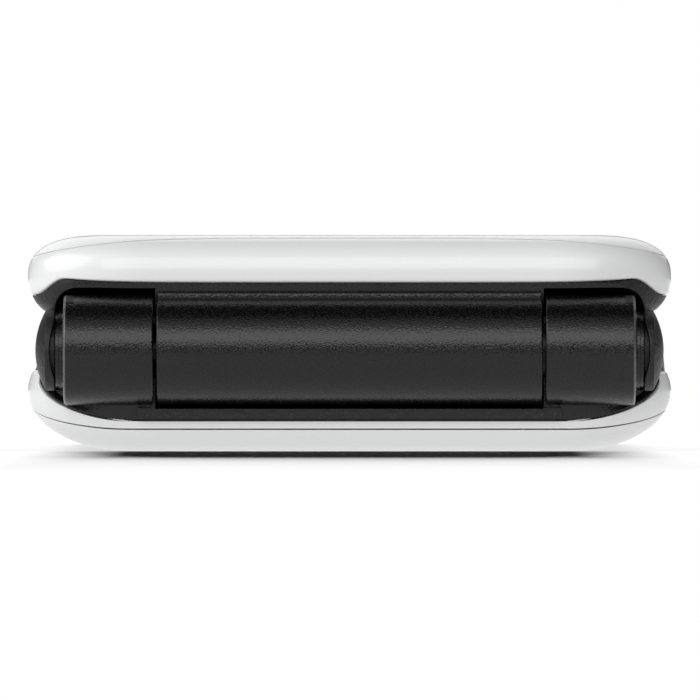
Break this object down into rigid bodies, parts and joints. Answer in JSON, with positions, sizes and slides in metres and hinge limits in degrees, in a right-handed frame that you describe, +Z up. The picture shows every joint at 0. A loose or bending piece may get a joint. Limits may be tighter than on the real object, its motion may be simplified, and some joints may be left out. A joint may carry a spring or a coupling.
{
  "type": "flip phone",
  "caption": "Closed clamshell phone: white shell halves, black inner frames, barrel hinge with knuckles, rear keypad under a turning lid.",
  "frame": {"origin": "middle of the closed phone's footprint, on the surface it lies on", "axes": "+X across the phone towards the side with the volume rocker; +Y along the phone from the hinge to the far end; +Z up from the back of the keypad half"},
  "size_m": [0.0577, 0.108, 0.0193],
  "materials": {
    "black_frame": "satin black plastic with a fine grain",
    "white_shell": "gloss white plastic",
    "panel_black": "gloss black plastic",
    "window_black": "hard-coated black window",
    "lens": "clear lens over a dark opening",
    "key_black": "satin black plastic",
    "key_silver": "silver paint",
    "key_green": "green plastic",
    "key_red": "red plastic",
    "side_key": "mid grey plastic",
    "battery_wrap": "grey wrap",
    "board": "green board",
    "tin": "tinned steel",
    "steel": "plain steel",
    "gold_plate": "gold-plated contact",
    "socket_black": "black plastic",
    "speaker_black": "dark plastic",
    "mesh": "woven mesh",
    "part_tan": "pale moulded part",
    "dome_film": "clear film over metal domes",
    "mat_rubber": "grey silicone",
    "bumper_rubber": "dark soft rubber",
    "screen": "dark screen",
    "flash_cap": "milky yellow cap",
    "flex": "amber film"
  },
  "bodies": {
    "base": {"base_frame": "black_frame", "base_shell": "white_shell", "battery_cover": "white_shell", "battery": "battery_wrap", "main_board": "board", "shield_can": "tin", "sim_holder": "tin", "usb_port": "tin", "headphone_jack": "socket_black", "loudspeaker": "speaker_black", "speaker_mesh": "mesh", "vibration_motor": "tin", "microphone": "part_tan", "dome_sheet": "dome_film", "key_mat": "mat_rubber", "keypad_panel": "panel_black", "battery_contacts": "gold_plate", "volume_switch": "part_tan", "base_screws": "steel", "hinge_shaft": "steel", "hinge_bush": "steel"},
    "lid": {"lid_frame": "black_frame", "lid_ring": "white_shell", "lid_panel": "white_shell", "display_window": "window_black", "main_display": "screen", "outer_window": "window_black", "outer_display": "screen", "earpiece": "speaker_black", "earpiece_mesh": "mesh", "camera_module": "socket_black", "camera_lens": "lens", "flash_led": "flash_cap", "lid_board": "board", "lid_magnet": "tin", "bumpers": "bumper_rubber", "lid_screws": "steel", "hinge_case": "steel", "hinge_spring": "steel", "display_flex": "flex"},
    "volume_rocker": {"volume_key": "side_key"},
    "nav_ring": {"nav_ring": "key_silver"},
    "ok_key": {"ok_key": "key_black"},
    "soft_left": {"soft_left": "key_black"},
    "soft_right": {"soft_right": "key_black"},
    "call_key": {"call_key": "key_green"},
    "end_key": {"end_key": "key_red"},
    "key_1": {"key_1": "key_black"},
    "key_2": {"key_2": "key_black"},
    "key_3": {"key_3": "key_black"},
    "key_4": {"key_4": "key_black"},
    "key_5": {"key_5": "key_black"},
    "key_6": {"key_6": "key_black"},
    "key_7": {"key_7": "key_black"},
    "key_8": {"key_8": "key_black"},
    "key_9": {"key_9": "key_black"},
    "key_star": {"key_star": "key_black"},
    "key_0": {"key_0": "key_black"},
    "key_hash": {"key_hash": "key_black"}
  },
  "joints": [
    {"name": "lid_hinge", "type": "hinge", "parent": "base", "child": "lid", "pos_m": [0, -0.0491, 0.009], "axis": [1, 0, 0], "range_deg": [0, 155]},
    {"name": "volume_rock", "type": "hinge", "parent": "base", "child": "volume_rocker", "pos_m": [0.026, -0.016, 0.0074], "axis": [0, 0, 1], "range_deg": [-1.5, 1.5], "stiffness_Nm_per_rad": 0.05},
    {"name": "nav_ring_press", "type": "slide", "parent": "base", "child": "nav_ring", "axis": [0, 0, -1], "range_m": [0, 0.0004], "stiffness_N_per_m": 1000},
    {"name": "ok_key_press", "type": "slide", "parent": "base", "child": "ok_key", "axis": [0, 0, -1], "range_m": [0, 0.0004], "stiffness_N_per_m": 1000},
    {"name": "soft_left_press", "type": "slide", "parent": "base", "child": "soft_left", "axis": [0, 0, -1], "range_m": [0, 0.0004], "stiffness_N_per_m": 1000},
    {"name": "soft_right_press", "type": "slide", "parent": "base", "child": "soft_right", "axis": [0, 0, -1], "range_m": [0, 0.0004], "stiffness_N_per_m": 1000},
    {"name": "call_key_press", "type": "slide", "parent": "base", "child": "call_key", "axis": [0, 0, -1], "range_m": [0, 0.0004], "stiffness_N_per_m": 1000},
    {"name": "end_key_press", "type": "slide", "parent": "base", "child": "end_key", "axis": [0, 0, -1], "range_m": [0, 0.0004], "stiffness_N_per_m": 1000},
    {"name": "key_1_press", "type": "slide", "parent": "base", "child": "key_1", "axis": [0, 0, -1], "range_m": [0, 0.0004], "stiffness_N_per_m": 1000},
    {"name": "key_2_press", "type": "slide", "parent": "base", "child": "key_2", "axis": [0, 0, -1], "range_m": [0, 0.0004], "stiffness_N_per_m": 1000},
    {"name": "key_3_press", "type": "slide", "parent": "base", "child": "key_3", "axis": [0, 0, -1], "range_m": [0, 0.0004], "stiffness_N_per_m": 1000},
    {"name": "key_4_press", "type": "slide", "parent": "base", "child": "key_4", "axis": [0, 0, -1], "range_m": [0, 0.0004], "stiffness_N_per_m": 1000},
    {"name": "key_5_press", "type": "slide", "parent": "base", "child": "key_5", "axis": [0, 0, -1], "range_m": [0, 0.0004], "stiffness_N_per_m": 1000},
    {"name": "key_6_press", "type": "slide", "parent": "base", "child": "key_6", "axis": [0, 0, -1], "range_m": [0, 0.0004], "stiffness_N_per_m": 1000},
    {"name": "key_7_press", "type": "slide", "parent": "base", "child": "key_7", "axis": [0, 0, -1], "range_m": [0, 0.0004], "stiffness_N_per_m": 1000},
    {"name": "key_8_press", "type": "slide", "parent": "base", "child": "key_8", "axis": [0, 0, -1], "range_m": [0, 0.0004], "stiffness_N_per_m": 1000},
    {"name": "key_9_press", "type": "slide", "parent": "base", "child": "key_9", "axis": [0, 0, -1], "range_m": [0, 0.0004], "stiffness_N_per_m": 1000},
    {"name": "key_star_press", "type": "slide", "parent": "base", "child": "key_star", "axis": [0, 0, -1], "range_m": [0, 0.0004], "stiffness_N_per_m": 1000},
    {"name": "key_0_press", "type": "slide", "parent": "base", "child": "key_0", "axis": [0, 0, -1], "range_m": [0, 0.0004], "stiffness_N_per_m": 1000},
    {"name": "key_hash_press", "type": "slide", "parent": "base", "child": "key_hash", "axis": [0, 0, -1], "range_m": [0, 0.0004], "stiffness_N_per_m": 1000}
  ]
}
